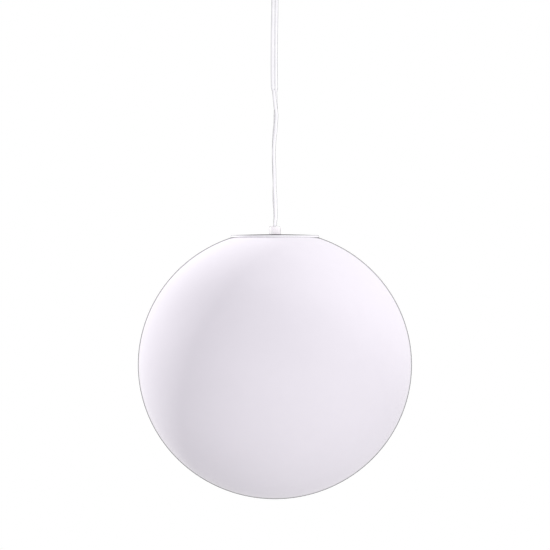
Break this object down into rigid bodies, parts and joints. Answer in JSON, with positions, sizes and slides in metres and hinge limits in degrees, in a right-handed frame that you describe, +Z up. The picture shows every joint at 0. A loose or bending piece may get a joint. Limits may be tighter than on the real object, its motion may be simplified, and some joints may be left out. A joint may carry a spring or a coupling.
{
  "type": "globe pendant light",
  "caption": "Opal globe pendant light for a porch or garden: a flat-topped white globe under a thin round cap, hung on flat twin flex from a ceiling canopy, with a screw-in bulb.",
  "frame": {"origin": "middle of the ceiling face, on the lamp's hanging axis", "axes": "+Z up, into the ceiling; +X along the row of ceiling screws; the picture looks along +Y"},
  "size_m": [0.2999, 0.3, 0.602],
  "materials": {
    "white_enamel": "satin",
    "zinc_plate": "satin",
    "gasket_rubber": "matt",
    "white_nylon": "satin",
    "milky_plastic": "milky, lets the flex show through",
    "flex_pvc": "smooth",
    "block_plastic": "smooth",
    "brass": "plain",
    "nylon_screw": "satin",
    "cap_plastic": "satin",
    "spring_steel": "satin",
    "holder_plastic": "gloss",
    "steatite": "matt ceramic",
    "nickel_plate": "satin nickel",
    "solder": "dull",
    "dark_glass": "gloss",
    "bulb_plastic": "satin",
    "frosted_plastic": "frosted",
    "board_metal": "white solder mask",
    "phosphor": "matt",
    "board_laminate": "satin",
    "part_black": "satin",
    "opal_plastic": "satin opal, lets light through"
  },
  "bodies": {
    "ceiling": {"ceiling_bracket": "zinc_plate", "ceiling_gasket": "gasket_rubber", "ceiling_canopy": "white_enamel", "canopy_screws": "zinc_plate", "canopy_cord_grip": "white_nylon", "canopy_grip_nut": "white_nylon", "canopy_grip_screw": "zinc_plate", "terminal_block": "block_plastic", "terminal_inserts": "brass", "terminal_screws": "zinc_plate", "terminal_block_screw": "zinc_plate", "ceiling_flex_tail": "flex_pvc", "ceiling_flex_cores": "flex_pvc"},
    "neck_upper": {"flex_neck_upper": "flex_pvc"},
    "neck_lower": {"flex_neck_lower": "flex_pvc"},
    "lamp": {"cord": "flex_pvc", "cord_grip": "milky_plastic", "grip_clamp_screw": "nylon_screw", "globe_cap": "cap_plastic", "cap_gasket": "gasket_rubber", "threaded_nipple": "brass", "nipple_washer": "zinc_plate", "nipple_locknut": "zinc_plate", "spring_clips": "spring_steel", "clip_rivets": "zinc_plate", "lampholder_cap": "holder_plastic", "lampholder_body": "holder_plastic", "lampholder_insert": "steatite", "lampholder_shell_contact": "brass", "lampholder_centre_contact": "brass", "lampholder_terminal_screws": "zinc_plate", "lamp_flex_cores": "flex_pvc"},
    "globe": {"globe": "opal_plastic"},
    "bulb_travel": {"bulb_tip_contact": "solder"},
    "bulb": {"bulb_insulator": "dark_glass", "bulb_screw_shell": "nickel_plate", "bulb_housing": "bulb_plastic", "bulb_driver_board": "board_laminate", "bulb_driver_parts": "part_black", "bulb_led_board": "board_metal", "bulb_led_chips": "phosphor", "bulb_diffuser": "frosted_plastic"}
  },
  "joints": [
    {"name": "swing_front_back", "type": "hinge", "parent": "ceiling", "child": "neck_upper", "pos_m": [0, 0, -0.038], "axis": [1, 0, 0], "range_deg": [-20, 20]},
    {"name": "swing_sideways", "type": "hinge", "parent": "neck_upper", "child": "neck_lower", "pos_m": [0, 0, -0.046], "axis": [0, 1, 0], "range_deg": [-20, 20]},
    {"name": "flex_twist", "type": "hinge", "parent": "neck_lower", "child": "lamp", "pos_m": [0, 0, -0.0503], "axis": [0, 0, 1], "range_deg": [-180, 180], "stiffness_Nm_per_rad": 0.01},
    {"name": "globe_drop", "type": "slide", "parent": "lamp", "child": "globe", "axis": [0, 0, -1], "range_m": [0, 0.18], "deforming": ["spring_clips"]},
    {"name": "bulb_unscrew_travel", "type": "slide", "parent": "lamp", "child": "bulb_travel", "axis": [0, 0, -1], "range_m": [0, 0.02359]},
    {"name": "bulb_unscrew_turn", "type": "hinge", "parent": "bulb_travel", "child": "bulb", "pos_m": [0, 0, -0.3594], "axis": [0, 0, -1], "range_deg": [0, 2340]}
  ],
  "couplings": [
    {"joint": "bulb_unscrew_turn", "follows": "bulb_unscrew_travel", "rad_per_m": 1731.4}
  ]
}
